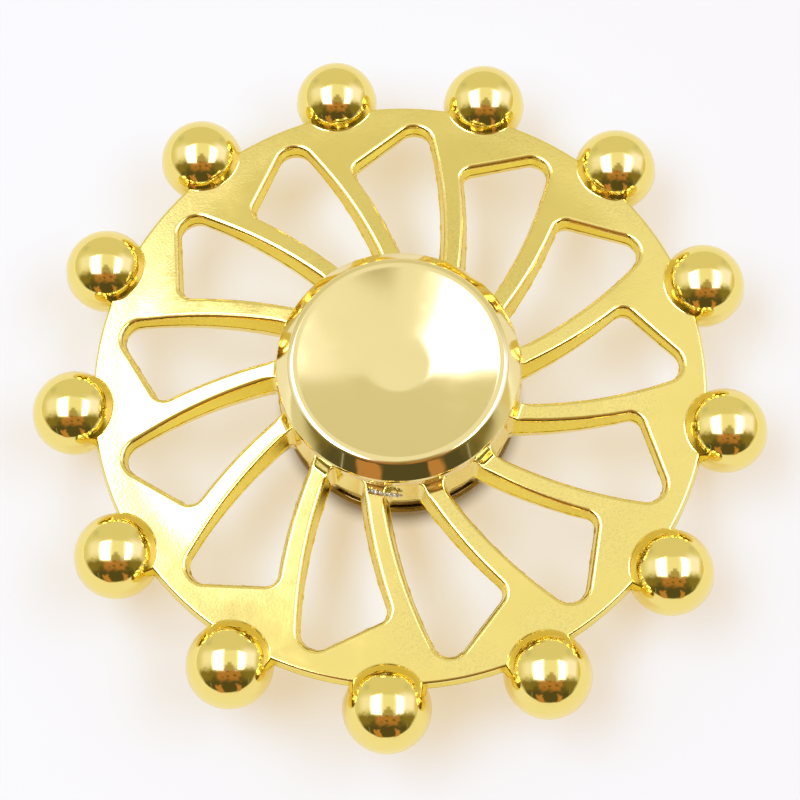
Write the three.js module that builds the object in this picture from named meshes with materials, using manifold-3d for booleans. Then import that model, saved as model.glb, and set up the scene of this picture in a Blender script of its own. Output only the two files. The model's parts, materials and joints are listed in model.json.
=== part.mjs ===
// Fidget spinner: a thirteen-spoke die-cast wheel with thirteen balls on its rim, turning on a
// standard 8 x 22 x 7 mm ball bearing between two finger caps.  Millimetres, +Z along the spin axis,
// origin on the axis at the middle of the thickness.
import * as THREE from "three";
import { mergeVertices } from "three/addons/utils/BufferGeometryUtils.js";
import Module from "manifold-3d";

const wasm = await Module();
wasm.setup();

const DEG = Math.PI / 180;
const FLAT = 0.15; // working gap left between pieces that seat on each other

// ---------------------------------------------------------------- wheel casting
const SPOKES = 13;
const PITCH = 360 / SPOKES;
const FIRST_BALL_AT = 101.8; // degrees from +X, counter-clockwise
const BALL_CIRCLE_R = 34.0;
const RIM_BALL_R = 4.42;
const RIM_R = 32.1;
const RIM_HALF = 1.36; // half thickness of the rim
const RIM_FLAT_FROM_R = 27.2; // inside this radius the plate thickens towards the hub
const ROOT_HALF = 2.6; // half thickness where the spokes meet the hub ring
const DRAFT = 10; // degrees every cast wall leans away from the parting line at z = 0
const HUB_R = 12.72; // radii and widths of the casting are those at the parting line
const HUB_HALF = 3.5;
const HUB_EDGE = 0.3;
const RAMP_TO_R = 13.1; // the spokes' roots climb from here to the hub ring
const RAMP_TOP = 3.05;
const EDGE = 0.45; // broken edges of the windows
const RIM_EDGE = 0.34;
const SPOKE_WIDTH = 2.77;
const SPOKE_BEND_R = 49.5; // the spokes are arcs of this radius
const SPOKE_MID = [18.69, -0.74]; // a point of the spoke's middle line, x along its ball's radius
const SPOKE_LEAN = 15.95; // degrees between the spoke and that radius at SPOKE_MID
const WINDOW_EDGE_AT = [26.77, -3.57]; // a point on the slanting outer edge of a window
const WINDOW_EDGE_LEAN = -62.9; // its direction, degrees
const SHARP_CORNER_R = 1.18;
const BLUNT_CORNER_R = 1.8;
const ROOT_CORNER_R = 0.45;

// ---------------------------------------------------------------- bearing
const BEARING_R = 11.0;
const BORE_R = 4.0;
const BEARING_HALF = 3.5;
const PITCH_R = 7.5;
const BEARING_BALLS = 7;
const BEARING_BALL_R = 1.95;
const RACE_R = 2.08;
const OUTER_LAND_R = 8.8;
const INNER_LAND_R = 6.1;
const SEAT_R = 9.6; // shield seat turned in the outer ring
const SEAT_DEPTH = 0.95;
const SHIELD_IN_R = 6.4;
const SHIELD_T = 0.25;
const CLIP_WIRE = 0.32;
const CLIP_GAP = 24; // degrees left open in the shield clip
const CAGE_IN_R = 6.85;
const CAGE_OUT_R = 8.15;
const CAGE_T = 0.25;
const CAGE_SPLIT = 0.06; // half the gap between the cage halves
const POCKET_R = 2.2;
const RIVET_R = 0.3;
const RIVET_HEAD_R = 0.55;
const RIVET_HEAD_H = 0.28;

// ---------------------------------------------------------------- finger caps
const CAP_R = 12.5;
const CAP_UNDER = 4.5; // underside of the flange above the middle plane
const CAP_EDGE_Z = [4.85, 5.72]; // the band round the flange's edge
const CAP_ROUND = 0.35;
const BEVEL_FROM_Z = 5.98;
const BEVEL_SLOPE = 47; // degrees
const CAP_TOP = 7.5;
const CREST_R = 10.5; // the rim's highest line
const CREST_LAND = 0.1; // half the narrow flat the cap rests on
const CREST_ROUND = 0.85;
const DISH_SLOPE = 15.5; // degrees, at the dish's edge
const DISH_TURN_R = [2.2, 4.0]; // the flat middle turns up into the dish between these
const DISH_TURN_SLOPE = 10; // degrees, where that turn ends
const SHOULDER_R = 5.6;
const BOSS_R = 3.82;
const BOSS_END = 0.2;
const STUD_R = 1.9;
const STUD_HALF = 3.0;

const GOLD = { color: 0xe0c455, roughness: 0.16, metalness: 1.0 };
const PALE_GOLD = { color: 0xe6d690, roughness: 0.12, metalness: 1.0 };
const STEEL = { color: 0xb9bcc0, roughness: 0.22, metalness: 1.0 };
const TIN = { color: 0xa9abae, roughness: 0.38, metalness: 1.0 };

const group = new THREE.Group();

function finish(name, geometry, look) {
  geometry.deleteAttribute("normal");
  geometry.deleteAttribute("uv");
  const mesh = new THREE.Mesh(
    mergeVertices(geometry, 1e-4),
    new THREE.MeshStandardMaterial(look),
  );
  mesh.geometry.computeVertexNormals();
  mesh.name = name;
  group.add(mesh);
  return mesh;
}

// ---------------------------------------------------------------- solids
function solid(geometry) {
  const bare = new THREE.BufferGeometry().setAttribute(
    "position",
    geometry.getAttribute("position"),
  );
  if (geometry.index) bare.setIndex(geometry.index);
  const merged = mergeVertices(bare, 1e-4);
  return new wasm.Manifold(
    new wasm.Mesh({
      numProp: 3,
      vertProperties: merged.attributes.position.array,
      triVerts: new Uint32Array(merged.index.array),
    }),
  );
}

function geometryOf(manifold) {
  const m = manifold.getMesh();
  const v = new Float32Array(m.numVert * 3);
  for (let i = 0; i < m.numVert; i++)
    v.set(m.vertProperties.subarray(i * m.numProp, i * m.numProp + 3), i * 3);
  return new THREE.BufferGeometry()
    .setAttribute("position", new THREE.BufferAttribute(v, 3))
    .setIndex(new THREE.BufferAttribute(m.triVerts, 1));
}

// A solid of revolution about Z from [radius, z] points listed counter-clockwise in the r-z plane.
function turned(profile, segments, phase = 0) {
  const points = profile.map(([r, z]) => new THREE.Vector2(r, z));
  if (profile[0][0] > 1e-6) points.push(points[0].clone());
  return new THREE.LatheGeometry(points, segments)
    .rotateX(90 * DEG)
    .rotateZ(phase * DEG);
}

function ball(radius, at, around, rings) {
  return new THREE.SphereGeometry(radius, around, rings)
    .rotateX(90 * DEG)
    .translate(at[0], at[1], at[2]);
}

const polar = (r, degrees, z = 0) => [
  r * Math.cos(degrees * DEG),
  r * Math.sin(degrees * DEG),
  z,
];

const mirrored = (profile) => profile.map(([r, z]) => [r, -z]).reverse();

// ---------------------------------------------------------------- window outline
const unit = (degrees) => [Math.cos(degrees * DEG), Math.sin(degrees * DEG)];
const turn = ([x, y], degrees) => {
  const [c, s] = unit(degrees);
  return [x * c - y * s, x * s + y * c];
};

// Where a circle (centre c, radius r) meets another circle, on the side nearest `near`.
function circlesMeet(c, r, d, q, near) {
  const [dx, dy] = [d[0] - c[0], d[1] - c[1]];
  const gap = Math.hypot(dx, dy);
  const along = (gap * gap + r * r - q * q) / (2 * gap);
  const off = Math.sqrt(r * r - along * along);
  const foot = [c[0] + (dx * along) / gap, c[1] + (dy * along) / gap];
  return nearest(
    [
      [foot[0] - (dy * off) / gap, foot[1] + (dx * off) / gap],
      [foot[0] + (dy * off) / gap, foot[1] - (dx * off) / gap],
    ],
    near,
  );
}

// Where a circle meets the line through p along u.
function circleMeetsLine(c, r, p, u, near) {
  const b = (p[0] - c[0]) * u[0] + (p[1] - c[1]) * u[1];
  const k = (p[0] - c[0]) ** 2 + (p[1] - c[1]) ** 2 - r * r;
  const root = Math.sqrt(b * b - k);
  return nearest(
    [-b - root, -b + root].map((t) => [p[0] + u[0] * t, p[1] + u[1] * t]),
    near,
  );
}

function nearest(points, near) {
  const far = (p) => Math.hypot(p[0] - near[0], p[1] - near[1]);
  return points.sort((a, b) => far(a) - far(b))[0];
}

// Points of the arc about c from direction a to direction b (degrees, shorter way), ends included.
function arc(c, r, a, b, steps) {
  const sweep = ((((b - a) % 360) + 540) % 360) - 180;
  const out = [];
  for (let i = 0; i <= steps; i++) {
    const [x, y] = unit(a + (sweep * i) / steps);
    out.push([c[0] + r * x, c[1] + r * y]);
  }
  return out;
}

const toward = (from, to) =>
  Math.atan2(to[1] - from[1], to[0] - from[0]) / DEG;

// One window, between a spoke and the next one clockwise, x along the first spoke's ball radius.
// The points run counter-clockwise.
function windowOutline() {
  const half = SPOKE_WIDTH / 2;
  const [nx, ny] = unit(SPOKE_LEAN + 90);
  const bend = [
    SPOKE_MID[0] + SPOKE_BEND_R * nx,
    SPOKE_MID[1] + SPOKE_BEND_R * ny,
  ];
  const nextBend = turn(bend, -PITCH);
  const nearR = SPOKE_BEND_R + half;
  const farR = SPOKE_BEND_R - half;
  const along = unit(WINDOW_EDGE_LEAN);
  const out = unit(WINDOW_EDGE_LEAN + 90);
  const inset = (r) => [
    WINDOW_EDGE_AT[0] - out[0] * r,
    WINDOW_EDGE_AT[1] - out[1] * r,
  ];
  const origin = [0, 0];
  const hubR = HUB_R - 0.05;
  const sharp = circleMeetsLine(
    bend, nearR + SHARP_CORNER_R, inset(SHARP_CORNER_R), along, [25, -1],
  );
  const blunt = circleMeetsLine(
    nextBend, farR - BLUNT_CORNER_R, inset(BLUNT_CORNER_R), along, [27, -7],
  );
  const rootB = circlesMeet(
    origin, hubR + ROOT_CORNER_R, nextBend, farR - ROOT_CORNER_R, [11, -6],
  );
  const rootA = circlesMeet(
    origin, hubR + ROOT_CORNER_R, bend, nearR + ROOT_CORNER_R, [12, -3],
  );
  const square = WINDOW_EDGE_LEAN + 90;
  const pieces = [
    arc(bend, nearR, toward(bend, rootA), toward(bend, sharp), 4),
    arc(sharp, SHARP_CORNER_R, toward(sharp, bend), square, 3),
    arc(blunt, BLUNT_CORNER_R, square, toward(nextBend, blunt), 4),
    arc(nextBend, farR, toward(nextBend, blunt), toward(nextBend, rootB), 4),
    arc(rootB, ROOT_CORNER_R, toward(nextBend, rootB), toward(rootB, origin), 2),
    arc(origin, hubR, toward(origin, rootB), toward(origin, rootA), 1),
    arc(rootA, ROOT_CORNER_R, toward(rootA, origin), toward(rootA, bend), 2),
  ];
  const outline = [];
  for (const p of pieces.flat()) {
    const last = outline[outline.length - 1];
    if (!last || Math.hypot(p[0] - last[0], p[1] - last[1]) > 0.02)
      outline.push(p);
  }
  return outline.reverse();
}

// Half thickness of the plate at a radius.
function plateHalf(r) {
  if (r >= RIM_FLAT_FROM_R) return RIM_HALF;
  const t = (RIM_FLAT_FROM_R - r) / (RIM_FLAT_FROM_R - HUB_R);
  return RIM_HALF + Math.min(1, t) * (ROOT_HALF - RIM_HALF);
}

// The cutter for a window: walls that widen with the draft from the parting line and flare at
// 45 degrees where they reach the faces, except along the hub ring, whose edge is left to the ring.
function windowCutter(outline) {
  const over = 0.5;
  const lean = Math.tan(DRAFT * DEG);
  const n = outline.length;
  const normals = outline.map((p, i) => {
    const a = outline[(i + n - 1) % n];
    const b = outline[(i + 1) % n];
    const len = Math.hypot(b[0] - a[0], b[1] - a[1]);
    return [(b[1] - a[1]) / len, -(b[0] - a[0]) / len];
  });
  const ring = (side, flare) =>
    outline.map((p, i) => {
      const r = Math.hypot(p[0], p[1]);
      const half = plateHalf(r);
      const open = Math.min(1, Math.max(0, r - HUB_R - ROOT_CORNER_R));
      const edge = half - EDGE * open;
      const spread = side === 0 ? 0 : edge * lean + (flare ? (EDGE + over) * open : 0);
      const z = flare ? half + over : edge;
      return [
        p[0] + normals[i][0] * spread,
        p[1] + normals[i][1] * spread,
        side * z,
      ];
    });
  const rings = [
    ring(-1, true), ring(-1, false), ring(0, false), ring(1, false), ring(1, true),
  ];
  const faces = THREE.ShapeUtils.triangulateShape(
    outline.map(([x, y]) => new THREE.Vector2(x, y)),
    [],
  );
  const index = [];
  for (let k = 0; k + 1 < rings.length; k++)
    for (let i = 0; i < n; i++) {
      const j = (i + 1) % n;
      index.push(k * n + i, k * n + j, (k + 1) * n + j);
      index.push(k * n + i, (k + 1) * n + j, (k + 1) * n + i);
    }
  const top = (rings.length - 1) * n;
  for (const [a, b, c] of faces) {
    index.push(a, c, b);
    index.push(top + a, top + b, top + c);
  }
  return new THREE.BufferGeometry()
    .setAttribute("position", new THREE.Float32BufferAttribute(rings.flat(2), 3))
    .setIndex(index);
}

function wheelCasting() {
  const bore = BEARING_R + FLAT;
  const lean = Math.tan(DRAFT * DEG);
  const hubFaceR = HUB_R - HUB_HALF * lean;
  const half = [
    [bore, HUB_HALF],
    [hubFaceR - HUB_EDGE / 2, HUB_HALF],
    [hubFaceR + HUB_EDGE / 2, HUB_HALF - HUB_EDGE],
    [hubFaceR + HUB_EDGE / 2, RAMP_TOP],
    [RAMP_TO_R, plateHalf(RAMP_TO_R)],
    [RIM_FLAT_FROM_R, RIM_HALF],
    [RIM_R - RIM_HALF * lean - RIM_EDGE, RIM_HALF],
    [RIM_R - (RIM_HALF - RIM_EDGE) * lean, RIM_HALF - RIM_EDGE],
  ];
  const profile = [...mirrored(half).reverse(), [RIM_R, 0], ...half.slice().reverse()];
  let body = solid(turned(profile, 4 * SPOKES, FIRST_BALL_AT));
  const outline = windowOutline();
  const cutter = windowCutter(outline);
  for (let k = 0; k < SPOKES; k++) {
    const at = FIRST_BALL_AT - k * PITCH;
    body = body.subtract(solid(cutter.clone().rotateZ(at * DEG)));
  }
  for (let k = 0; k < SPOKES; k++) {
    const at = polar(BALL_CIRCLE_R, FIRST_BALL_AT - k * PITCH);
    body = body.add(solid(ball(RIM_BALL_R, at, 20, 12)));
  }
  return geometryOf(body);
}

finish("wheel_casting", wheelCasting(), GOLD);

// ---------------------------------------------------------------- bearing rings
// Points of the race groove, from its lower lip to its upper one; side +1 opens outward.
function race(landR, side, steps) {
  const reach = Math.sqrt(RACE_R ** 2 - (landR - PITCH_R) ** 2);
  const from = Math.atan2(reach, Math.abs(landR - PITCH_R));
  const out = [];
  for (let i = 0; i <= steps; i++) {
    const a = -from + (2 * from * i) / steps;
    out.push([PITCH_R + side * RACE_R * Math.cos(a), RACE_R * Math.sin(a)]);
  }
  return out;
}

const seatZ = BEARING_HALF - SEAT_DEPTH;
const outerProfile = [
  [BEARING_R, -BEARING_HALF + 0.3],
  [BEARING_R, BEARING_HALF - 0.3],
  [BEARING_R - 0.3, BEARING_HALF],
  [SEAT_R, BEARING_HALF],
  [SEAT_R, seatZ],
  [OUTER_LAND_R, seatZ],
  ...race(OUTER_LAND_R, 1, 4).reverse(),
  [OUTER_LAND_R, -seatZ],
  [SEAT_R, -seatZ],
  [SEAT_R, -BEARING_HALF],
  [BEARING_R - 0.3, -BEARING_HALF],
];
finish("bearing_outer_ring", turned(outerProfile, 32), STEEL);

const innerProfile = [
  [BORE_R, BEARING_HALF - 0.25],
  [BORE_R, -BEARING_HALF + 0.25],
  [BORE_R + 0.25, -BEARING_HALF],
  [INNER_LAND_R, -BEARING_HALF],
  ...race(INNER_LAND_R, -1, 4),
  [INNER_LAND_R, BEARING_HALF],
  [BORE_R + 0.25, BEARING_HALF],
];
finish("bearing_inner_ring", turned(innerProfile, 28), STEEL);

// ---------------------------------------------------------------- balls, cage, rivets
const BALL_PITCH = 360 / BEARING_BALLS;
for (let k = 0; k < BEARING_BALLS; k++)
  finish(
    "bearing_ball_" + (k + 1),
    ball(BEARING_BALL_R, polar(PITCH_R, k * BALL_PITCH), 12, 8),
    STEEL,
  );

// Upper half of the pressed cage: a flat ribbon that domes over each ball.
function cageHalf() {
  const flat = solid(
    turned(
      [
        [CAGE_IN_R, CAGE_SPLIT],
        [CAGE_OUT_R, CAGE_SPLIT],
        [CAGE_OUT_R, CAGE_SPLIT + CAGE_T],
        [CAGE_IN_R, CAGE_SPLIT + CAGE_T],
      ],
      21,
    ),
  );
  const sleeve = solid(
    turned(
      [
        [CAGE_IN_R, CAGE_SPLIT],
        [CAGE_OUT_R, CAGE_SPLIT],
        [CAGE_OUT_R, POCKET_R + 1],
        [CAGE_IN_R, POCKET_R + 1],
      ],
      21,
    ),
  );
  let half = flat;
  for (let k = 0; k < BEARING_BALLS; k++) {
    const at = polar(PITCH_R, k * BALL_PITCH);
    const dome = solid(ball(POCKET_R + CAGE_T, at, 8, 6));
    half = half.add(dome.intersect(sleeve));
  }
  for (let k = 0; k < BEARING_BALLS; k++) {
    const at = polar(PITCH_R, k * BALL_PITCH);
    half = half.subtract(solid(ball(POCKET_R, at, 8, 6)));
    const hole = new THREE.CylinderGeometry(
      RIVET_R + 0.08, RIVET_R + 0.08, 3, 6,
    ).rotateX(90 * DEG);
    hole.translate(...polar(PITCH_R, (k + 0.5) * BALL_PITCH));
    half = half.subtract(solid(hole));
  }
  return geometryOf(half);
}

const upperCage = cageHalf();
finish("cage_half_top", upperCage.clone(), TIN);
finish("cage_half_bottom", upperCage.clone().rotateX(180 * DEG), TIN);

const headFrom = CAGE_SPLIT + CAGE_T + 0.06;
const rivetHalf = [
  [RIVET_R, headFrom],
  [RIVET_HEAD_R, headFrom],
  [RIVET_HEAD_R * 0.7, headFrom + RIVET_HEAD_H],
  [0, headFrom + RIVET_HEAD_H],
];
const rivetProfile = [...mirrored(rivetHalf), ...rivetHalf];
for (let k = 0; k < BEARING_BALLS; k++)
  finish(
    "cage_rivet_" + (k + 1),
    turned(rivetProfile, 6).translate(
      ...polar(PITCH_R, (k + 0.5) * BALL_PITCH),
    ),
    TIN,
  );

// ---------------------------------------------------------------- shields and their clips
const shieldZ = seatZ + 0.12;
const shieldProfile = [
  [SHIELD_IN_R, shieldZ],
  [SEAT_R - FLAT, shieldZ],
  [SEAT_R - FLAT, shieldZ + SHIELD_T],
  [SHIELD_IN_R, shieldZ + SHIELD_T],
];
finish("shield_top", turned(shieldProfile, 32), TIN);
finish("shield_bottom", turned(mirrored(shieldProfile), 32), TIN);

// The clip is an open ring of round wire in the shield seat.
function clip(side) {
  const r = SEAT_R - FLAT - CLIP_WIRE / 2;
  const z = side * (shieldZ + SHIELD_T + 0.1 + CLIP_WIRE / 2);
  class OpenRing extends THREE.Curve {
    getPoint(t, target = new THREE.Vector3()) {
      const a = (CLIP_GAP / 2 + t * (360 - CLIP_GAP)) * DEG;
      return target.set(r * Math.cos(a), r * Math.sin(a), z);
    }
  }
  const wire = new THREE.Shape();
  wire.absarc(0, 0, CLIP_WIRE / 2, 0, 2 * Math.PI);
  return new THREE.ExtrudeGeometry(wire, {
    steps: 20,
    curveSegments: 3,
    bevelEnabled: false,
    extrudePath: new OpenRing(),
  });
}
finish("shield_clip_top", clip(1), STEEL);
finish("shield_clip_bottom", clip(-1), STEEL);

// ---------------------------------------------------------------- finger caps and stud
// A point of the rim's round where it falls outward at so many degrees.
function crest(slope) {
  const t = slope * DEG;
  return [
    CREST_R + Math.sign(slope) * CREST_LAND + CREST_ROUND * Math.sin(t),
    CAP_TOP - CREST_ROUND * (1 - Math.cos(t)),
  ];
}

// The dish's slope in degrees: a shallow bowl that turns smoothly into a flat middle.
function dishSlope(r) {
  const [flat, bowl] = DISH_TURN_R;
  const out = Math.max(0, (r - bowl) / (CREST_R - bowl));
  const t = Math.min(1, (r - flat) / (bowl - flat));
  return (DISH_TURN_SLOPE + (DISH_SLOPE - DISH_TURN_SLOPE) * out) * t * t * (3 - 2 * t);
}

// From the rim's round down to the flat middle, in steps along the bowl and along the turn.
function dish(bowlSteps, turnSteps) {
  const [flat, bowl] = DISH_TURN_R;
  const [start, top] = crest(-DISH_SLOPE);
  const out = [[start, top]];
  const down = (to, steps) => {
    const from = out[out.length - 1][0];
    for (let i = 1; i <= steps; i++) {
      const [r, z] = out[out.length - 1];
      const next = from + ((to - from) * i) / steps;
      out.push([next, z - (r - next) * Math.tan(dishSlope((r + next) / 2) * DEG)]);
    }
  };
  down(bowl, bowlSteps);
  down(flat, turnSteps);
  out.push([0, out[out.length - 1][1]]);
  return out;
}

const bevelTop = crest(BEVEL_SLOPE);
const bevelRun = (bevelTop[1] - BEVEL_FROM_Z) / Math.tan(BEVEL_SLOPE * DEG);
const capProfile = [
  [0, STUD_HALF + 0.2],
  [STUD_R + FLAT, STUD_HALF + 0.2],
  [STUD_R + FLAT, BOSS_END],
  [BOSS_R, BOSS_END],
  [BOSS_R, BEARING_HALF + FLAT],
  [SHOULDER_R, BEARING_HALF + FLAT],
  [SHOULDER_R, CAP_UNDER],
  [CAP_R - CAP_ROUND, CAP_UNDER],
  [CAP_R, CAP_EDGE_Z[0]],
  [CAP_R, CAP_EDGE_Z[1]],
  [bevelTop[0] + bevelRun, BEVEL_FROM_Z],
  bevelTop,
  crest(30),
  crest(15),
  crest(0.001),
  crest(-0.001),
  ...dish(3, 2),
];
finish("cap_top", turned(capProfile, 44), PALE_GOLD);
finish("cap_bottom", turned(mirrored(capProfile), 44), PALE_GOLD);

const studProfile = [
  [0, -STUD_HALF],
  [STUD_R - 0.3, -STUD_HALF],
  [STUD_R, -STUD_HALF + 0.3],
  [STUD_R, STUD_HALF - 0.3],
  [STUD_R - 0.3, STUD_HALF],
  [0, STUD_HALF],
];
finish("cap_stud", turned(studProfile, 20), STEEL);

export default group;
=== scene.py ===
"""Fidget spinner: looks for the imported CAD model.  Metres, +Z along the spin axis."""

import json
import math

import bpy
import numpy as np
from mathutils import Matrix, Vector, geometry


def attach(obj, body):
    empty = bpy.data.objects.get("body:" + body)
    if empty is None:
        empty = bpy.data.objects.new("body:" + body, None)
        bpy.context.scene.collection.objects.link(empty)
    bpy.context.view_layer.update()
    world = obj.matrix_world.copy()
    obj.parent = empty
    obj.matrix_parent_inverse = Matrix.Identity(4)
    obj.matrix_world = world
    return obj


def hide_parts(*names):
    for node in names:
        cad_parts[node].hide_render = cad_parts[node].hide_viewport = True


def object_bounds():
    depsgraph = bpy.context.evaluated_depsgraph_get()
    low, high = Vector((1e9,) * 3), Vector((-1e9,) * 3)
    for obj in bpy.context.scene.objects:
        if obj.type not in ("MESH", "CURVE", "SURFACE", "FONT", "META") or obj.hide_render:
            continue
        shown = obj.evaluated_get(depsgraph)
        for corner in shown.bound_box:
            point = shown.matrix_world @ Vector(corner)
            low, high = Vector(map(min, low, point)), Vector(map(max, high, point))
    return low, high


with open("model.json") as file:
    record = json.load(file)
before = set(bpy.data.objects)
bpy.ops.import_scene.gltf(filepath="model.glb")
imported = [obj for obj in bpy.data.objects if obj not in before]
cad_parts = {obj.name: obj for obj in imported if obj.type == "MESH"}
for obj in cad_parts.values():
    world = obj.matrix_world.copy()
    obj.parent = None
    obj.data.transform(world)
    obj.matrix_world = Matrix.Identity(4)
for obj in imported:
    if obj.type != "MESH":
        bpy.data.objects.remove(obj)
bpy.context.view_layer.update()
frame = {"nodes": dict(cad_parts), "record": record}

MM = 0.001
TAU = 2 * math.pi

# ------------------------------------------------------------------ sizes, millimetres
SPOKES = 13
PITCH = TAU / SPOKES
FIRST_BALL_AT = math.radians(101.8)
BALL_CIRCLE_R = 34.0
RIM_BALL_R = 4.39
RIM_R = 32.1
RIM_HALF = 1.36
RIM_FLAT_FROM_R = 27.2
ROOT_HALF = 2.6
DRAFT = math.tan(math.radians(10))  # how far every cast wall leans away from the parting line
HUB_R = 12.72  # radii and widths of the casting are those at the parting line, z = 0
HUB_HALF = 3.5
BORE_R = 11.15
EDGE = 0.52
HUB_EDGE = 0.22
RIM_EDGE = 0.34
SPOKE_WIDTH = 2.77
SPOKE_BEND_R = 49.5
SPOKE_MID = (18.69, -0.74)
SPOKE_LEAN = math.radians(15.95)
WINDOW_EDGE_AT = (26.77, -3.57)
WINDOW_EDGE_LEAN = math.radians(-62.9)
SHARP_CORNER_R = 1.18
BLUNT_CORNER_R = 1.80
ROOT_CORNER_R = 0.45
HUB_BITE = 0.05  # the windows reach this far into the hub ring's wall

BOSS_R, BOSS_END = 3.82, 0.2  # the boss that enters the bearing's inner ring
HOLE_R, HOLE_TOP = 2.05, 3.2  # the hole for the stud
SHOULDER_R, SEAT_Z = 5.6, 3.65  # the shoulder that seats on the inner ring
CAP_R = 12.5
CAP_UNDER = 4.5
CAP_EDGE_Z = (4.85, 5.72)
CAP_ROUND = 0.35
CAP_TOP = 7.50
CREST_R = 10.50  # the rim's highest line
CREST_LAND = 0.10  # half the narrow flat the cap rests on
CREST_ROUND = 0.85
BEVEL_FROM_Z = 5.98
BEVEL_SLOPE = 47.0  # degrees
DISH_SLOPE = 15.5  # degrees, at the dish's edge
DISH_TURN_R = (2.2, 4.0)  # the flat middle turns up into the dish between these
DISH_TURN_SLOPE = 10.0  # degrees, where that turn ends
DISH_Z = 5.0  # the dish lies outside this height, the rest of the cap's inside nearer the middle


# ------------------------------------------------------------------ small helpers
def unit(a):
    return np.array([math.cos(a), math.sin(a)])


def turn2(p, a):
    c, s = math.cos(a), math.sin(a)
    return np.array([p[0] * c - p[1] * s, p[0] * s + p[1] * c])


def smooth(t):
    t = min(1.0, max(0.0, t))
    return t * t * (3 - 2 * t)


def new_object(name, verts, faces, normals=None, materials=(), parts=None):
    """A mesh object from millimetre points.  parts gives each face's material index."""
    mesh = bpy.data.meshes.new(name)
    mesh.from_pydata([tuple(float(c) * MM for c in v) for v in verts], [], faces)
    mesh.update()
    for m in materials:
        mesh.materials.append(m)
    mesh.polygons.foreach_set("use_smooth", [True] * len(mesh.polygons))
    if parts is not None:
        mesh.polygons.foreach_set("material_index", parts)
    if normals is not None:
        mesh.normals_split_custom_set_from_vertices([tuple(map(float, n)) for n in normals])
    mesh.validate(clean_customdata=False)
    obj = bpy.data.objects.new(name, mesh)
    bpy.context.scene.collection.objects.link(obj)
    return obj


# ------------------------------------------------------------------ window outline
def circles_meet(c, r, d, q, near):
    """Where the circles (c, r) and (d, q) cross, at the crossing nearer to near."""
    c, d, near = map(np.array, (c, d, near))
    gap = np.linalg.norm(d - c)
    along = (gap * gap + r * r - q * q) / (2 * gap)
    off = math.sqrt(r * r - along * along)
    e = (d - c) / gap
    foot = c + e * along
    side = np.array([-e[1], e[0]]) * off
    return min((foot + side, foot - side), key=lambda p: np.linalg.norm(p - near))


def circle_meets_line(c, r, p, u, near):
    """Where the circle (c, r) crosses the line through p along u, at the crossing nearer to near."""
    c, p, u, near = map(np.array, (c, p, u, near))
    b = (p - c) @ u
    root = math.sqrt(b * b - (p - c) @ (p - c) + r * r)
    return min((p + u * t for t in (-b - root, -b + root)), key=lambda q: np.linalg.norm(q - near))


LONG_STEP = 0.45  # spacing of outline points along nearly straight runs


def window_outline(step=0.16):
    """Points and outward normals of one window, counter-clockwise, in its ball's own frame."""
    half = SPOKE_WIDTH / 2
    bend = np.array(SPOKE_MID) + SPOKE_BEND_R * unit(SPOKE_LEAN + TAU / 4)
    next_bend = turn2(bend, -PITCH)
    near_r, far_r, hub_r = SPOKE_BEND_R + half, SPOKE_BEND_R - half, HUB_R - HUB_BITE
    along = unit(WINDOW_EDGE_LEAN)
    square = WINDOW_EDGE_LEAN + TAU / 4
    out = unit(square)
    at = np.array(WINDOW_EDGE_AT)
    # each corner's round touches both its neighbours; the last argument says which crossing is meant
    sharp = circle_meets_line(bend, near_r + SHARP_CORNER_R, at - out * SHARP_CORNER_R, along, (25, -1))
    blunt = circle_meets_line(next_bend, far_r - BLUNT_CORNER_R, at - out * BLUNT_CORNER_R, along, (27, -7))
    root_b = circles_meet((0, 0), hub_r + ROOT_CORNER_R, next_bend, far_r - ROOT_CORNER_R, (11, -6))
    root_a = circles_meet((0, 0), hub_r + ROOT_CORNER_R, bend, near_r + ROOT_CORNER_R, (12, -3))

    def heading(a, b):
        return math.atan2(b[1] - a[1], b[0] - a[0])

    zero = np.zeros(2)
    runs = [  # centre, radius, from, to, +1 where the window lies inside the circle
        (bend, near_r, heading(bend, root_a), heading(bend, sharp), -1),
        (sharp, SHARP_CORNER_R, heading(sharp, bend), square, 1),
        (blunt, BLUNT_CORNER_R, square, heading(next_bend, blunt), 1),
        (next_bend, far_r, heading(next_bend, blunt), heading(next_bend, root_b), 1),
        (root_b, ROOT_CORNER_R, heading(next_bend, root_b), heading(root_b, zero), 1),
        (zero, hub_r, heading(zero, root_b), heading(zero, root_a), -1),
        (root_a, ROOT_CORNER_R, heading(root_a, zero), heading(root_a, bend), 1),
    ]
    pts, nrm = [], []
    for i, (c, r, a, b, side) in enumerate(runs):
        sweep = (b - a + math.pi) % TAU - math.pi
        n = max(6, int(abs(sweep) * r / step)) if r < 5 else max(4, int(abs(sweep) * r / LONG_STEP))
        for k in range(n + 1):
            d = unit(a + sweep * k / n)
            p = c + r * d
            if pts and np.linalg.norm(p - pts[-1]) < 1e-3:
                continue
            pts.append(p)
            nrm.append(side * d)
        if i == 1:  # the straight outer edge between the two corners
            start, stop = sharp + out * SHARP_CORNER_R, blunt + out * BLUNT_CORNER_R
            m = max(2, int(np.linalg.norm(stop - start) / LONG_STEP))
            for k in range(1, m):
                pts.append(start + (stop - start) * k / m)
                nrm.append(out)
    if np.linalg.norm(pts[0] - pts[-1]) < 1e-3:
        pts.pop(), nrm.pop()
    return np.array(pts[::-1]), np.array(nrm[::-1])


# ------------------------------------------------------------------ plate surface
BLEND_FROM, BLEND_TO = 25.0, 29.4  # the taper eases into the flat rim between these
SLOPE = (ROOT_HALF - RIM_HALF) / (RIM_FLAT_FROM_R - HUB_R)
RAMP_IN, RAMP_OUT = 12.05, 13.1  # the spokes' roots climb to the hub ring between these


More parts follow.
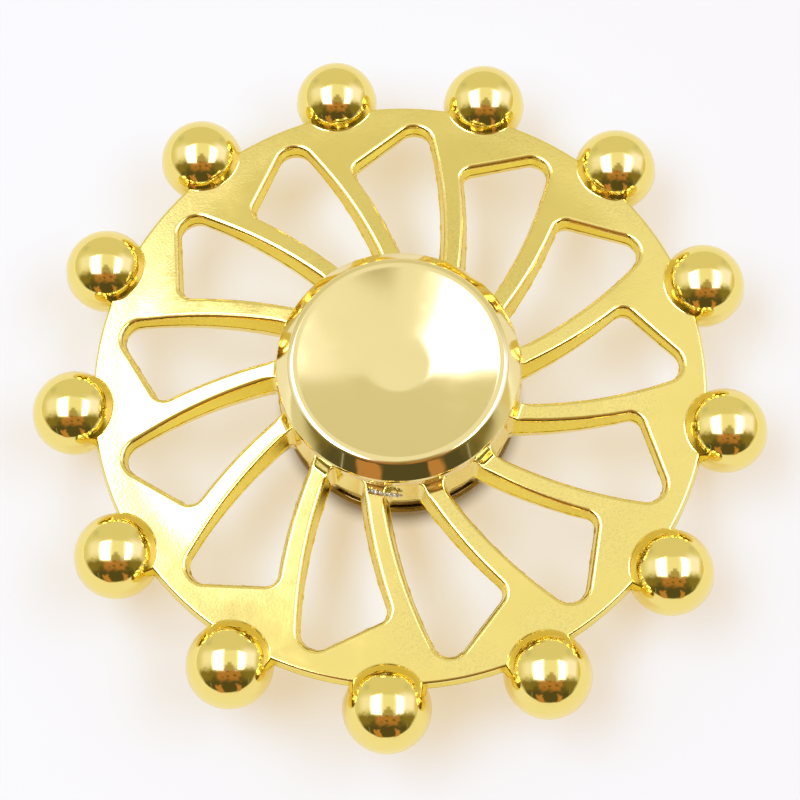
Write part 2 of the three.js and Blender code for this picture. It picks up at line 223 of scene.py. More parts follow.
def plate_top(r):
    """Height of the casting's upper face, with soft turns where the taper starts and at the hub."""
    if r >= BLEND_TO:
        z = RIM_HALF
    elif r <= BLEND_FROM:
        z = RIM_HALF + (RIM_FLAT_FROM_R - r) * SLOPE
    else:
        t = (BLEND_TO - r) / (BLEND_TO - BLEND_FROM)
        z = RIM_HALF + SLOPE * (RIM_FLAT_FROM_R - BLEND_FROM) * t * t
    if r < RAMP_OUT:
        z += (HUB_HALF - z) * smooth((RAMP_OUT - r) / (RAMP_OUT - RAMP_IN))
    return z


def plate_normal(x, y):
    r = math.hypot(x, y)
    slope = (plate_top(r + 0.01) - plate_top(r - 0.01)) / 0.02
    n = np.array([-slope * x / r, -slope * y / r, 1.0])
    return n / np.linalg.norm(n)


FILLET_STEPS = 6
WINDOWS_FROM_R, WINDOWS_TO_R = HUB_R - 1.2, 30.6  # no window reaches outside these


def edge_radius(r):
    """Round between a window's wall and the face: small at the hub ring, larger along the spokes."""
    return HUB_EDGE + (EDGE - HUB_EDGE) * smooth((r - HUB_R - 0.2) / 1.2)


def set_back(p, n, edge, draft=DRAFT):
    """How far into the metal (along n) from the parting line the face starts, and its height there."""
    back = 0.6
    for _ in range(6):
        top = plate_top(np.linalg.norm(p + n * back))
        back = (top - edge) * draft + edge * math.sqrt(1 + draft * draft)
    return back, top


def flash(s, seed):
    """Height of the ragged line the mould's two halves leave, at a distance s along a wall."""
    wave = math.sin(s * 2.1 + seed * 1.7) + math.sin(s * 5.3 + seed * 4.1) + 0.7 * math.sin(s * 11.9 + seed)
    return 0.045 + 0.065 * smooth(wave / 2.2)


def wheel_plate():
    """Hub ring, spokes and rim as one closed skin with rounded edges, and each face's material."""
    verts, normals, faces, parts = [], [], [], []

    def add(p, n):
        verts.append(tuple(p))
        normals.append(tuple(n))
        return len(verts) - 1

    outline, out_n = window_outline()
    loops = []  # window boundaries at the parting line
    for k in range(SPOKES):
        a = FIRST_BALL_AT - k * PITCH
        pts = np.array([turn2(p, a) for p in outline])
        nrm = np.array([turn2(n, a) for n in out_n])
        edge = [edge_radius(np.linalg.norm(p)) for p in pts]
        back = np.array([set_back(p, n, e)[0] for p, n, e in zip(pts, nrm, edge)])
        loops.append((pts, nrm, edge, back))

    flat, edges = [], []  # points of the upper face, its fixed edges

    def loop_on_face(points):
        first = len(flat)
        flat.extend(Vector((float(p[0]), float(p[1]))) for p in points)
        n = len(points)
        edges.extend((first + i, first + (i + 1) % n) for i in range(n))
        return list(range(first, first + n))

    def circle(r, n):
        return [r * unit(TAU * i / n) for i in range(n)]

    window_ids = [loop_on_face(pts + nrm * back[:, None]) for pts, nrm, _, back in loops]
    around = SPOKES * 26  # points round each full circle
    bore_round = 0.15
    guard = 0.09  # inner points keep this far from a window's edge
    rim_back = set_back(np.array([RIM_R, 0.0]), np.array([-1.0, 0.0]), RIM_EDGE)[0]
    rim_ids = loop_on_face(circle(RIM_R - rim_back, around))
    bore_ids = loop_on_face(circle(BORE_R + bore_round, around))

    grown = [pts + nrm * (back[:, None] + guard) for pts, nrm, _, back in loops]

    def inside(p, poly):
        x, y = p
        x1, y1 = poly[:, 0], poly[:, 1]
        x2, y2 = np.roll(x1, -1), np.roll(y1, -1)
        cross = (y1 > y) != (y2 > y)
        return np.count_nonzero(cross & (x < (x2 - x1) * (y - y1) / (y2 - y1 + 1e-15) + x1)) % 2

    def in_window(p, polys):
        if not WINDOWS_FROM_R < math.hypot(*p) < WINDOWS_TO_R:
            return False
        return any(inside(p, q) for q in polys)

    # rings of inner points wherever the face's slope changes
    rings = [RAMP_IN + i * (RAMP_OUT - RAMP_IN) / 9 for i in range(-1, 11)]
    rings += [13.6, 14.2] + [24.6 + 0.55 * i for i in range(10)] + [30.4]
    for r in rings:
        n = around if r < 13.4 else SPOKES * 18
        for p in circle(r, n):
            if not in_window(p, grown):
                flat.append(Vector((float(p[0]), float(p[1]))))

    got = geometry.delaunay_2d_cdt(flat, edges, [], 0, 1e-5)
    spots, tris, origin = got[0], got[2], got[3]
    where = {}
    for i, sources in enumerate(origin):
        for s in sources:
            where[s] = i
    cut = [pts + nrm * back[:, None] for pts, nrm, _, back in loops]
    kept = []
    for tri in tris:
        c = sum((np.array(spots[i]) for i in tri), np.zeros(2)) / 3
        r = math.hypot(*c)
        if r > RIM_R - rim_back or r < BORE_R + bore_round or in_window(c, cut):
            continue
        a, b, d = (np.array(spots[i]) for i in tri)
        area = (b[0] - a[0]) * (d[1] - a[1]) - (b[1] - a[1]) * (d[0] - a[0])
        kept.append(tri if area > 0 else tri[::-1])

    top = [add((p[0], p[1], plate_top(math.hypot(*p))), plate_normal(*p)) for p in spots]
    low = [add((p[0], p[1], -verts[i][2]), (normals[i][0], normals[i][1], -normals[i][2]))
           for i, p in zip(top, spots)]
    for t in kept:
        faces.append(tuple(top[i] for i in t))
        faces.append(tuple(low[i] for i in reversed(t)))
    parts += [0] * len(faces)

    def skirt(ids, pts, nrm, radii, draft=DRAFT, seed=None, wall=1):
        """The wall below a boundary of the upper face, down to the same boundary of the lower one.
        pts is the parting line, nrm points into the metal, radii are the edge rounds.  A seed adds
        the ragged parting flash; wall is the material of the part below the edge rounds."""
        n = len(ids)
        lean = math.atan(draft)
        rows = [[top[where[i]] for i in ids]]
        for s in range(1, FILLET_STEPS + 1):
            a = TAU / 4 + (lean - TAU / 4) * s / FILLET_STEPS
            row = []
            for p, m, f, i in zip(pts, nrm, radii, ids):
                zc = verts[top[where[i]]][2] - f
                q = p + m * (zc * draft + f / math.cos(lean) - f * math.cos(a))
                row.append(add((*q, zc + f * math.sin(a)), (*(-m * math.cos(a)), math.sin(a))))
            rows.append(row)
        walk = np.concatenate([[0], np.cumsum(np.linalg.norm(np.diff(np.array(pts), axis=0), axis=1))])
        ridge = [0.0 if seed is None else flash(s, seed) for s in walk]
        # rows of the wall: share of its height, extra height, whether on the ridge, lean of the normal
        for share, z, out, tilt in ((0.5, 0, 0, lean), (0, 0.15, 0, lean), (0, 0.10, 0, math.radians(55)),
                                    (0, 0.03, 1, math.radians(25))):
            row = []
            for j, (p, m) in enumerate(zip(pts, nrm)):
                h = verts[rows[FILLET_STEPS][j]][2] * share + z
                q = p + m * (h * draft - out * ridge[j])
                row.append(add((*q, h), (*(-m * math.cos(tilt)), math.sin(tilt))))
            rows.append(row)
        rows += [[low[where[i]] for i in ids] if k == 0 else
                 [add((verts[v][0], verts[v][1], -verts[v][2]), (normals[v][0], normals[v][1], -normals[v][2]))
                  for v in rows[k]] for k in range(len(rows) - 1, -1, -1)]
        for k, (upper, lower) in enumerate(zip(rows, rows[1:])):
            edge = k < FILLET_STEPS or k >= len(rows) - 1 - FILLET_STEPS or k == len(rows) // 2 - 1
            for i in range(n):
                j = (i + 1) % n
                faces.append((upper[i], upper[j], lower[j], lower[i]))
                on_hub = np.linalg.norm(pts[i]) < HUB_R + ROOT_CORNER_R - 0.1  # polished like the face
                parts.append(0 if edge or on_hub else wall)

    for k, ((pts, nrm, edge, _), ids) in enumerate(zip(loops, window_ids)):
        skirt(ids, pts, nrm, edge, seed=k + 1)
    bore_pts = circle(BORE_R, around)
    skirt(bore_ids, bore_pts, [p / BORE_R for p in bore_pts], [bore_round] * around, draft=0.0)
    rim_pts = circle(RIM_R, around)
    first = len(faces)
    skirt(rim_ids, rim_pts, [-p / RIM_R for p in rim_pts], [RIM_EDGE] * around)
    faces[first:] = [f[::-1] for f in faces[first:]]
    return verts, faces, normals, parts


def lathe(profile, segments, closed=True, start=0.0):
    """Points and quads of a turned piece from (r, z) points; radius 0 makes a pole."""
    verts, faces, rows = [], [], []
    for r, z in profile:
        if r < 1e-6:
            verts.append((0.0, 0.0, z))
            rows.append([len(verts) - 1] * segments)
            continue
        row = []
        for i in range(segments):
            a = start + TAU * i / segments
            verts.append((r * math.cos(a), r * math.sin(a), z))
            row.append(len(verts) - 1)
        rows.append(row)
    pairs = list(zip(rows, rows[1:])) + ([(rows[-1], rows[0])] if closed else [])
    for a, b in pairs:
        for i in range(segments):
            j = (i + 1) % segments
            f = [a[i], a[j], b[j], b[i]]
            f = [v for n, v in enumerate(f) if v not in f[:n]]
            if len(f) > 2:
                faces.append(tuple(f))
    return verts, faces


def rounded(points, radii, steps=5):
    """The open or closed profile with each corner replaced by an arc of that radius."""
    out = []
    n = len(points)
    for i, (p, r) in enumerate(zip(points, radii)):
        p = np.array(p, float)
        if r <= 0 or i in (0, n - 1) and radii[i] <= 0:
            out.append(tuple(p))
            continue
        a = np.array(points[(i - 1) % n], float) - p
        b = np.array(points[(i + 1) % n], float) - p
        la, lb = np.linalg.norm(a), np.linalg.norm(b)
        a, b = a / la, b / lb
        half = math.acos(max(-1, min(1, a @ b))) / 2
        back = min(r / math.tan(half), la * 0.49, lb * 0.49)
        r = back * math.tan(half)
        mid = p + (a + b) / np.linalg.norm(a + b) * (r / math.sin(half))
        s, e = p + a * back - mid, p + b * back - mid
        for k in range(steps + 1):
            t = k / steps
            d = s * (1 - t) + e * t
            out.append(tuple(mid + d / np.linalg.norm(d) * r))
    return out


def hard_by_angle(obj, degrees=32):
    """Shades smooth except across corners sharper than this."""
    with bpy.context.temp_override(object=obj, active_object=obj, selected_objects=[obj],
                                   selected_editable_objects=[obj]):
        bpy.ops.object.shade_smooth_by_angle(angle=math.radians(degrees))


# ------------------------------------------------------------------ materials
def principled(name):
    m = bpy.data.materials.new(name)
    m.use_nodes = True
    nodes = m.node_tree.nodes
    return m, nodes, m.node_tree.links, nodes["Principled BSDF"]


def metal(name, colour, worn, rough, grain_mm, grain, ripple_mm, ripple, pits=0.0):
    """Plated metal: slight colour drift, uneven gloss, fine grain and a long soft ripple.
    colour and worn are the plating's two tints and rough is (lowest, highest) roughness.  grain and
    ripple are heights in millimetres at the wavelengths grain_mm and ripple_mm.  pits is how much
    darker the casting's fine pits are, which gather in patches."""
    m, nodes, links, bsdf = principled(name)
    bsdf.inputs["Metallic"].default_value = 1.0
    where = nodes.new("ShaderNodeTexCoord")

    def noise(scale_mm, detail, rough_=0.55, warp=0.0):
        n = nodes.new("ShaderNodeTexNoise")
        n.inputs["Scale"].default_value = 1.0 / (scale_mm * MM)
        n.inputs["Detail"].default_value = detail
        n.inputs["Roughness"].default_value = rough_
        n.inputs["Distortion"].default_value = warp
        links.new(where.outputs["Object"], n.inputs["Vector"])
        return n

    drift = noise(9.0, 3.0)
    mix = nodes.new("ShaderNodeMix")
    mix.data_type = "RGBA"
    mix.inputs["A"].default_value = (*colour, 1)
    mix.inputs["B"].default_value = (*worn, 1)
    links.new(drift.outputs["Fac"], mix.inputs["Factor"])
    tint = mix.outputs["Result"]
    if pits > 0:
        shares = []
        for source, low, high in ((noise(0.24, 2.0, 0.65), 0.46, 0.64), (noise(13.0, 1.0), 0.42, 0.60)):
            share = nodes.new("ShaderNodeMapRange")
            share.inputs["From Min"].default_value = low
            share.inputs["From Max"].default_value = high
            links.new(source.outputs["Fac"], share.inputs["Value"])
            shares.append(share.outputs["Result"])
        amount = nodes.new("ShaderNodeMath")
        amount.operation = "MULTIPLY"
        links.new(shares[0], amount.inputs[0])
        links.new(shares[1], amount.inputs[1])
        dark = nodes.new("ShaderNodeMix")
        dark.data_type = "RGBA"
        links.new(amount.outputs[0], dark.inputs["Factor"])
        links.new(tint, dark.inputs["A"])
        dark.inputs["B"].default_value = (*(c * (1 - pits) for c in colour), 1)
        tint = dark.outputs["Result"]
    links.new(tint, bsdf.inputs["Base Color"])

    smear = noise(3.2, 4.0, 0.6, 0.4)
    spread = nodes.new("ShaderNodeMapRange")
    spread.inputs["From Min"].default_value = 0.35
    spread.inputs["From Max"].default_value = 0.70
    spread.inputs["To Min"].default_value = rough[0]
    spread.inputs["To Max"].default_value = rough[1]
    links.new(smear.outputs["Fac"], spread.inputs["Value"])
    links.new(spread.outputs["Result"], bsdf.inputs["Roughness"])

    last = None
    for scale, depth in ((ripple_mm, ripple), (grain_mm, grain)):
        n = noise(scale, 2.0)
        bump = nodes.new("ShaderNodeBump")
        bump.inputs["Strength"].default_value = 1.0
        bump.inputs["Distance"].default_value = depth * MM
        links.new(n.outputs["Fac"], bump.inputs["Height"])
        if last:
            links.new(last.outputs["Normal"], bump.inputs["Normal"])
        last = bump
    links.new(last.outputs["Normal"], bsdf.inputs["Normal"])
    return m


GOLD = (0.935, 0.775, 0.26)
GOLD_DEEP = (0.905, 0.735, 0.20)
CAP_GOLD = (0.90, 0.765, 0.37)
CAP_GOLD_DEEP = (0.88, 0.735, 0.33)
gold = metal("gold_plate", GOLD, GOLD_DEEP, (0.08, 0.17), 0.28, 0.0060, 2.6, 0.010, 0.13)
gold_ball = metal("gold_plate_ball", GOLD, GOLD_DEEP, (0.06, 0.10), 0.5, 0.0006, 3.0, 0.004)
# Window walls: the rougher, pitted finish is the casting's own, but the deeper, more saturated gold is painted
# reflection of the beige floor and of the gold seen again in them.
gold_wall_painted_reflection = metal("gold_cast_wall_painted_reflection", (0.95, 0.79, 0.12), (0.88, 0.69, 0.07), (0.14, 0.30),
                  0.22, 0.007, 0.9, 0.018, 0.15)
cap_gold = metal("cap_gold", CAP_GOLD, CAP_GOLD_DEEP, (0.045, 0.09), 0.4, 0.0003, 4.0, 0.004)
cap_dish = metal("cap_gold_dish", CAP_GOLD, CAP_GOLD_DEEP, (0.09, 0.15), 0.4, 0.0006, 4.0, 0.004)
# The caps' flange that faces the wheel, and the lower cap's edge: this dark brown is painted shade, standing in
# for the reflection of the dark gap under the wheel and of the shadowed floor; only its extra roughness is a
# finish.
cap_painted_shade = metal("cap_gold_painted_shade", (0.30, 0.205, 0.075), (0.23, 0.15, 0.05), (0.16, 0.28),
                  0.25, 0.003, 1.8, 0.008)
steel = metal("bearing_steel", (0.60, 0.61, 0.63), (0.52, 0.53, 0.55), (0.14, 0.26), 0.3, 0.0008, 2.0, 0.002)
tin = metal("pressed_steel", (0.50, 0.50, 0.51), (0.42, 0.42, 0.43), (0.28, 0.42), 0.25, 0.0025, 1.6, 0.004)
bare = metal("bare_zinc", (0.86, 0.86, 0.88), (0.50, 0.49, 0.48), (0.20, 0.42), 0.25, 0.03, 0.6, 0.05)

# ------------------------------------------------------------------ the wheel
verts, faces, normals, parts = wheel_plate()
plate = new_object("wheel_plate", verts, faces, normals, [gold, gold_wall_painted_reflection], parts)
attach(plate, "rotor")


FLASH_REACH = 0.16  # the balls' parting flash lies within this height of the middle


def ball_profile():
    """Half circle from pole to pole with the mould's parting flash round the middle."""
    n = 60
    arc = []
    for i in range(n + 1):
        a = -TAU / 4 + math.pi * i / n
        arc.append((RIM_BALL_R * math.cos(a), RIM_BALL_R * math.sin(a)))
    low = [p for p in arc if p[1] < -FLASH_REACH]
    high = [p for p in arc if p[1] > FLASH_REACH]
    flash_steps = [(-0.15, 0.0), (-0.07, 0.004), (-0.045, 0.028), (0.045, 0.028), (0.07, 0.004), (0.15, 0.0)]
    ridge = [(math.sqrt(RIM_BALL_R**2 - z * z) + h, z) for z, h in flash_steps]
    return low + ridge + high


ball_v, ball_f = lathe(ball_profile(), 96, closed=False)
COLLAR_R = 0.24  # the round where a ball meets the rim's face
COLLAR_FADE = 0.9  # it fades out over this distance, inside the rim's rounded edge


def ball_collar(at, angle):
    """The small round between a ball and the rim's face, on both faces, fading out at the rim's edge."""
    verts, faces = [], []
    centre = np.array([BALL_CIRCLE_R, 0.0])
    n, steps = 64, 5
    for side in (1, -1):
        rows = []
        for i in range(n + 1):
            beta = math.radians(100 + 160 * i / n)  # the half of the ball that faces the hub
            d = unit(beta)
            reach = np.linalg.norm(centre + d * (RIM_BALL_R + 0.06))
            f = COLLAR_R * smooth((RIM_R - 0.50 - reach) / COLLAR_FADE)
            if f < 0.02:
                rows.append(None)
                continue
            lift = RIM_HALF + f
            away = math.sqrt((RIM_BALL_R + f) ** 2 - lift**2)
            end = math.atan2(lift, away)  # direction from the ball's centre to the round's own centre
            row = []
            for s in range(steps + 1):
                a = -TAU / 4 + (-(TAU / 4) + end) * s / steps
                u = away + f * math.cos(a)
                z = lift + f * math.sin(a)
                if s == 0:
                    z -= 0.01
                p = centre + d * u
                q = turn2(p, angle)
                verts.append((q[0], q[1], side * z))
                row.append(len(verts) - 1)
            rows.append(row)
        for a, b in zip(rows, rows[1:]):
            if a is None or b is None:
                continue
            for s in range(steps):
                quad = (a[s], b[s], b[s + 1], a[s + 1])
                faces.append(quad if side > 0 else quad[::-1])
    return verts, faces


for k in range(SPOKES):
    a = FIRST_BALL_AT - k * PITCH
    c = turn2((BALL_CIRCLE_R, 0.0), a)
    v = [(x + c[0], y + c[1], z) for x, y, z in ball_v]
    cv, cf = ball_collar(c, a)
    base = len(v)
    v += cv
    f = ball_f + [tuple(i + base for i in q) for q in cf]
    ball = new_object(f"rim_ball_{k + 1}", v, f, None, [gold_ball])
    hard_by_angle(ball, 60)
    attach(ball, "rotor")

def burr(start, end, tall, proud, steps=26, around=10):
    """A torn sliver of bare metal left on the hub ring, tapered at both ends and lumpy all over."""
    start, end = np.array(start), np.array(end)
    verts, faces = [], []
    for i in range(steps + 1):
        t = i / steps
        p = start + (end - start) * t
        out = np.array([p[0], p[1], 0.0]) / math.hypot(p[0], p[1])
        bow = 0.12 * math.sin(math.pi * t)
        full = math.sin(math.pi * min(1.0, max(0.0, 0.06 + 0.9 * t))) ** 0.45
        lump = 0.72 + 0.20 * math.sin(t * 31.0) + 0.16 * math.sin(t * 67.0 + 1.3)
        for j in range(around):
            a = TAU * j / around
            rough = 1 + 0.18 * math.sin(j * 2.7 + i * 1.9)
            q = p + out * (bow + proud * full * lump * rough * math.cos(a))
            q[2] += tall * full * lump * rough * math.sin(a)
            verts.append(tuple(q))
    for i in range(steps):
        for j in range(around):
            k = (j + 1) % around
            faces.append((i * around + j, i * around + k, (i + 1) * around + k, (i + 1) * around + j))
    faces.append(tuple(reversed(range(around))))
    faces.append(tuple(steps * around + j for j in range(around)))
    return verts, faces


v, f = burr((-3.25, -12.4, 3.2), (0.4, -12.62, 1.75), 0.44, 0.34)
sliver = new_object("hub_burr", v, f, None, [bare])
hard_by_angle(sliver, 24)
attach(sliver, "rotor")

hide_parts("wheel_casting")

# ------------------------------------------------------------------ finger caps
def crest(slope):
    """The point of the rim's round where it falls outward at this many degrees."""
    t = math.radians(slope)
    land = math.copysign(CREST_LAND, slope)
    return CREST_R + land + CREST_ROUND * math.sin(t), CAP_TOP - CREST_ROUND * (1 - math.cos(t))


def dish_profile(steps=40):
    """From the rim's round inwards: a shallow bowl that turns smoothly into a flat middle."""
    flat, bowl = DISH_TURN_R
    start, z = crest(-DISH_SLOPE)
    out = [(start, z)]
    for i in range(1, steps + 1):
        r = start + (flat - start) * i / steps
        mid = (r + out[-1][0]) / 2
        rise = DISH_TURN_SLOPE + (DISH_SLOPE - DISH_TURN_SLOPE) * max(0.0, (mid - bowl) / (CREST_R - bowl))
        z -= (out[-1][0] - r) * math.tan(math.radians(rise * smooth((mid - flat) / (bowl - flat))))
        out.append((r, z))
    return out + [(1.2, z), (0.0, z)]


def cap_profile():
    bevel_top = crest(BEVEL_SLOPE)
    bevel_run = (bevel_top[1] - BEVEL_FROM_Z) / math.tan(math.radians(BEVEL_SLOPE))
    outer = rounded(
        [(BOSS_R, BOSS_END), (BOSS_R, SEAT_Z), (SHOULDER_R, SEAT_Z), (SHOULDER_R, CAP_UNDER),
         (CAP_R - CAP_ROUND, CAP_UNDER),
         (CAP_R, CAP_EDGE_Z[0]), (CAP_R, CAP_EDGE_Z[1]),
         (bevel_top[0] + bevel_run, BEVEL_FROM_Z), bevel_top],
        [0, 0, 0.1, 0.15, 0.2, 0.2, 0.2, 0.25, 0],
    )
    rim = [crest(s) for s in range(int(BEVEL_SLOPE) - 4, 0, -4)] + [crest(0.01), crest(-0.01)]
    rim += [crest(-s) for s in range(4, int(DISH_SLOPE), 4)]
    return [(0.0, HOLE_TOP), (HOLE_R, HOLE_TOP), (HOLE_R, BOSS_END)] + outer + rim + dish_profile()


DISH_OUT_R = crest(-0.6 * DISH_SLOPE)[0]
FLANGE_FROM_R = 5.0
profile = cap_profile()
for name, body_node, side in (("finger_cap_top", "cap_top", 1), ("finger_cap_bottom", "cap_bottom", -1)):
    p = [(r, side * z) for r, z in profile]
    v, f = lathe(p, 192, closed=False)
    if side < 0:
        f = [q[::-1] for q in f]
    # On the lower cap the painted shade reaches down over the cap's edge as well.
    shaded_z = CAP_UNDER + 0.05 if side > 0 else BEVEL_FROM_Z - 0.06

    def look(face):
        """0 polished, 1 the flange that faces the wheel, rougher and darkened with painted shade, 2 the handled
        dish.
        """
        heights = [abs(v[i][2]) for i in face]
        radii = [math.hypot(v[i][0], v[i][1]) for i in face]
        if max(radii) < DISH_OUT_R and min(heights) > DISH_Z:
            return 2
        return int(max(heights) < shaded_z and min(radii) > FLANGE_FROM_R)

    cap = new_object(name, v, f, None, [cap_gold, cap_painted_shade, cap_dish], [look(q) for q in f])
    hard_by_angle(cap, 40)
    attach(cap, "holder")
    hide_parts(body_node)

# ------------------------------------------------------------------ CAD nodes kept
looks = {"bearing_steel": steel, "pressed_steel": tin, "gold_plate": gold, "cap_gold": cap_gold}
for part in frame["record"]["subparts"]:
    node = frame["nodes"][part["node"]]
    node.data.materials.clear()
    node.data.materials.append(looks[part["material_slot"]])

# ------------------------------------------------------------------ studio
def studio_world():
    """Pale to the camera.  To everything else a room, laid out on a chart whose middle is overhead,
    whose right is +X and whose top is +Y, with 1 at the horizon."""
    world = bpy.data.worlds.new("studio")
    bpy.context.scene.world = world
    world.use_nodes = True
    nodes, links = world.node_tree.nodes, world.node_tree.links
    nodes.clear()

    def put(value, socket):
        if isinstance(value, (int, float)):
            socket.default_value = value
        else:
            links.new(value, socket)

    def calc(op, a, b=None, c=None):
        n = nodes.new("ShaderNodeMath")
        n.operation = op
        for i, v in enumerate((a, b, c)):
            if v is not None:
                put(v, n.inputs[i])
        return n.outputs[0]

    def ramp(value, low, high):
        """0 below low, 1 above high, or the other way round where low is above high."""
        n = nodes.new("ShaderNodeMapRange")
        n.interpolation_type = "SMOOTHSTEP"
        flip = low > high
        n.inputs["From Min"].default_value = min(low, high)
        n.inputs["From Max"].default_value = max(low, high)
        n.inputs["To Min"].default_value = 1.0 if flip else 0.0
        n.inputs["To Max"].default_value = 0.0 if flip else 1.0
        put(value, n.inputs["Value"])
        return n.outputs["Result"]

    def both(*masks):
        out = masks[0]
        for m in masks[1:]:
            out = calc("MULTIPLY", out, m)
        return out

    def patch(x0, x1, y0, y1, soft):
        """A soft-edged rectangle of the chart."""
        return both(ramp(cx, x0 - soft, x0 + soft), ramp(cx, x1 + soft, x1 - soft),
                    ramp(cy, y0 - soft, y0 + soft), ramp(cy, y1 + soft, y1 - soft))

    def over(below, mask, colour):
        n = nodes.new("ShaderNodeMix")
        n.data_type = "RGBA"
        links.new(mask, n.inputs["Factor"])
        links.new(below, n.inputs["A"])
        n.inputs["B"].default_value = (*colour, 1)
        return n.outputs["Result"]

    coord = nodes.new("ShaderNodeTexCoord")
    split = nodes.new("ShaderNodeSeparateXYZ")
    links.new(coord.outputs["Generated"], split.inputs["Vector"])
    x, y, z = split.outputs
    off = calc("DIVIDE", calc("ARCCOSINE", z), math.pi / 2)  # angle from overhead
    flat = calc("MAXIMUM", calc("SQRT", calc("ADD", calc("MULTIPLY", x, x), calc("MULTIPLY", y, y))), 1e-4)
    cx = calc("MULTIPLY", off, calc("DIVIDE", x, flat))
    cy = calc("MULTIPLY", off, calc("DIVIDE", y, flat))

    walls = nodes.new("ShaderNodeRGB")
    walls.outputs[0].default_value = (0.775, 0.745, 0.61, 1)
    room = walls.outputs[0]
    # the ceiling, then the lamps' glow on it, then two dim fittings behind
    room = over(room, both(patch(-0.25, 0.50, -0.45, 0.50, 0.08), ramp(cy, 0.32, 0.27)), (0.97, 0.96, 0.94))
    room = over(room, patch(0.42, 0.86, -0.12, 0.38, 0.13), (1.12, 1.12, 1.85))
    room = over(room, patch(-0.78, -0.40, -0.10, 0.32, 0.13), (1.02, 1.02, 1.30))
    room = over(room, patch(-0.66, -0.50, 0.50, 0.68, 0.06), (0.64, 0.64, 0.58))
    room = over(room, patch(0.52, 0.66, 0.52, 0.70, 0.06), (0.66, 0.66, 0.60))
    # the near side of the room: dark, warm in the middle, with wavering edges
    wobble = nodes.new("ShaderNodeTexNoise")
    wobble.inputs["Scale"].default_value = 6.0
    wobble.inputs["Detail"].default_value = 4.0
    links.new(coord.outputs["Generated"], wobble.inputs["Vector"])
    shift = calc("MULTIPLY_ADD", wobble.outputs["Fac"], 0.30, -0.15)
    front = calc("ADD", cy, shift)
    side = calc("SUBTRACT", cx, shift)
    near_wall = both(ramp(front, -0.10, -0.34), ramp(off, 0.97, 0.91))
    room = over(room, near_wall, (0.24, 0.195, 0.06))
    room = over(room, both(near_wall, ramp(calc("ABSOLUTE", side), 0.62, 0.42), ramp(front, -0.26, -0.52)),
                (0.15, 0.125, 0.045))
    warm = both(ramp(front, -0.26, -0.32), ramp(front, -0.74, -0.66), ramp(side, -0.36, -0.28),
                ramp(side, 0.44, 0.34), ramp(wobble.outputs["Fac"], 0.36, 0.44))
    room = over(room, warm, (0.48, 0.235, 0.09))
    low = both(ramp(front, -0.44, -0.66), ramp(cx, -0.86, -0.74), ramp(cx, 0.94, 0.78), ramp(off, 0.985, 0.955))
    room = over(room, low, (0.095, 0.084, 0.040))
    for x0, x1 in ((-0.39, -0.18), (0.25, 0.42)):
        glow = both(ramp(side, x0 - 0.02, x0 + 0.02), ramp(side, x1 + 0.02, x1 - 0.02), ramp(front, -0.68, -0.76))
        room = over(room, glow, (0.55, 0.27, 0.10))
    # two thin upright highlights, a warm wall low on the right, and the camera overhead
    room = over(room, patch(-0.564, -0.554, -0.78, -0.60, 0.006), (0.62, 0.60, 0.56))
    room = over(room, patch(0.662, 0.672, -0.68, -0.50, 0.006), (0.50, 0.49, 0.45))
    room = over(room, patch(0.86, 1.10, -0.10, 0.36, 0.07), (0.78, 0.68, 0.36))
    room = over(room, patch(0.00, 0.12, -0.20, -0.05, 0.03), (0.52, 0.46, 0.30))
    room = over(room, patch(-0.07, 0.18, -0.29, -0.13, 0.03), (0.46, 0.38, 0.22))

    inside = nodes.new("ShaderNodeBackground")
    links.new(room, inside.inputs["Color"])
    pale = nodes.new("ShaderNodeBackground")
    pale.inputs["Color"].default_value = (0.94, 0.93, 0.95, 1)
    path = nodes.new("ShaderNodeLightPath")
    pick = nodes.new("ShaderNodeMixShader")
    links.new(path.outputs["Is Camera Ray"], pick.inputs["Fac"])
    links.new(inside.outputs["Background"], pick.inputs[1])
    links.new(pale.outputs["Background"], pick.inputs[2])
    out = nodes.new("ShaderNodeOutputWorld")
    links.new(pick.outputs["Shader"], out.inputs["Surface"])


studio_world()

BOX_HEIGHT = 0.45


def soft_box(name, x0, x1, y0, y1, level, lift=0.0, tint=(1.0, 1.0, 1.0)):
    """A downward-facing panel; its edges are given as slopes seen from the spinner."""
    height = BOX_HEIGHT + lift
    data = bpy.data.lights.new(name, "AREA")
    data.shape = "RECTANGLE"
    data.size, data.size_y = (x1 - x0) * height, (y1 - y0) * height
    data.energy = level * math.pi * data.size * data.size_y
    data.color = tint
    light = bpy.data.objects.new(name, data)
    light.location = ((x0 + x1) / 2 * height, (y0 + y1) / 2 * height, height)
    bpy.context.scene.collection.objects.link(light)


SKIRT = (0.5, 0.5, 1.0)  # the boxes' dim cool surrounds
soft_box("soft_box_left", -0.80, -0.26, -0.50, 0.45, 6.0)
soft_box("soft_box_left_edge", -0.93, -0.21, -0.58, 0.50, 1.1, 0.004, SKIRT)
soft_box("soft_box_left_glow", -1.00, -0.15, -0.66, 0.55, 0.25, 0.008, SKIRT)
soft_box("soft_box_right", 0.50, 0.95, -0.50, 0.46, 5.5)
soft_box("soft_box_right_edge", 0.46, 1.15, -0.58, 0.50, 0.5, 0.004, SKIRT)
soft_box("soft_box_right_glow", 0.36, 1.22, -0.66, 0.55, 0.22, 0.008, SKIRT)

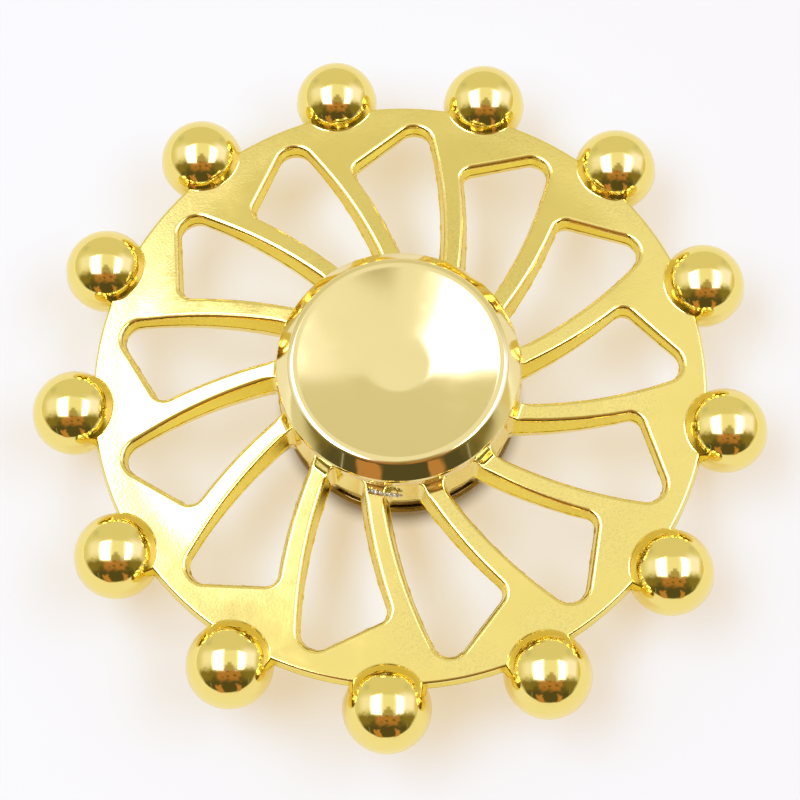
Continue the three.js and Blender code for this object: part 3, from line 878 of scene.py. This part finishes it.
SHADOW_R = (11.2, 13.9)  # millimetres from the axis where the cap's contact shadow starts and ends
LAMPLIT_R = (0.12, 0.90)  # metres from the axis over which the lamps' light falls away
floor_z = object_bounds()[0][2] - 0.0001
bpy.ops.mesh.primitive_plane_add(size=6.0, location=(0, 0, floor_z))
floor = bpy.context.object
floor.name = "floor"
fm, fn, fl, fb = principled("floor_paper")
spot = fn.new("ShaderNodeTexCoord")
distance = fn.new("ShaderNodeVectorMath")
distance.operation = "LENGTH"
fl.new(spot.outputs["Object"], distance.inputs[0])
shade = fn.new("ShaderNodeMapRange")  # the contact shadow round the lower cap
shade.interpolation_type = "SMOOTHSTEP"
shade.inputs["From Min"].default_value = SHADOW_R[0] * MM
shade.inputs["From Max"].default_value = SHADOW_R[1] * MM
shade.inputs["To Min"].default_value = 0.04
shade.inputs["To Max"].default_value = 1.0
fl.new(distance.outputs["Value"], shade.inputs["Value"])
fl.new(shade.outputs["Result"], fb.inputs["Emission Strength"])
far = fn.new("ShaderNodeMapRange")  # beyond the lamps' reach the paper glows pale by itself
far.interpolation_type = "SMOOTHSTEP"
far.inputs["From Min"].default_value = LAMPLIT_R[0]
far.inputs["From Max"].default_value = LAMPLIT_R[1]
fl.new(distance.outputs["Value"], far.inputs["Value"])
# Near the spinner the glow is warm and the paper's base colour bluish, so wherever lamplight is blocked the floor
# turns beige: painted warm bounce light from the gold.
glow = fn.new("ShaderNodeMix")
glow.data_type = "RGBA"
glow.inputs["A"].default_value = (0.687, 0.494, 0.285, 1)
glow.inputs["B"].default_value = (0.94, 0.93, 0.95, 1)
fl.new(far.outputs["Result"], glow.inputs["Factor"])
fl.new(glow.outputs["Result"], fb.inputs["Emission Color"])
# Inside the contact-shadow ring the base colour turns brown: painted shadow.
paper = fn.new("ShaderNodeMix")
paper.data_type = "RGBA"
paper.inputs["A"].default_value = (0.20, 0.15, 0.07, 1)
paper.inputs["B"].default_value = (0.162, 0.28, 0.405, 1)
fl.new(shade.outputs["Result"], paper.inputs["Factor"])
fl.new(paper.outputs["Result"], fb.inputs["Base Color"])
fb.inputs["Roughness"].default_value = 0.9
fb.inputs["Specular IOR Level"].default_value = 0.1
floor.data.materials.append(fm)

# ------------------------------------------------------------------ camera
LENS_MM = 82.95
TILT, PAN = math.radians(-19.56), math.radians(1.22)
SPINNER_AT = np.array([-0.0018, -0.0470, 5.6743]) * BALL_CIRCLE_R * MM  # seen from the camera: right, down, ahead
camera_data = bpy.data.cameras.new("camera")
camera = bpy.data.objects.new("camera", camera_data)
bpy.context.scene.collection.objects.link(camera)
camera_data.sensor_width = 36.0
camera_data.lens = LENS_MM
camera_data.clip_start = 0.005
about_x = np.array([[1, 0, 0], [0, math.cos(TILT), -math.sin(TILT)], [0, math.sin(TILT), math.cos(TILT)]])
about_y = np.array([[math.cos(PAN), 0, math.sin(PAN)], [0, 1, 0], [-math.sin(PAN), 0, math.cos(PAN)]])
rows = about_x @ about_y @ np.diag([1, -1, -1])  # the camera's right, down and ahead in the frame's axes
place = -rows.T @ SPINNER_AT
axes = np.column_stack([rows[0], -rows[1], -rows[2]])
matrix = Matrix.Identity(4)
for i in range(3):
    for j in range(3):
        matrix[i][j] = float(axes[i][j])
    matrix[i][3] = float(place[i])
camera.matrix_world = matrix
bpy.context.scene.camera = camera
bpy.context.scene.view_settings.view_transform = "Standard"
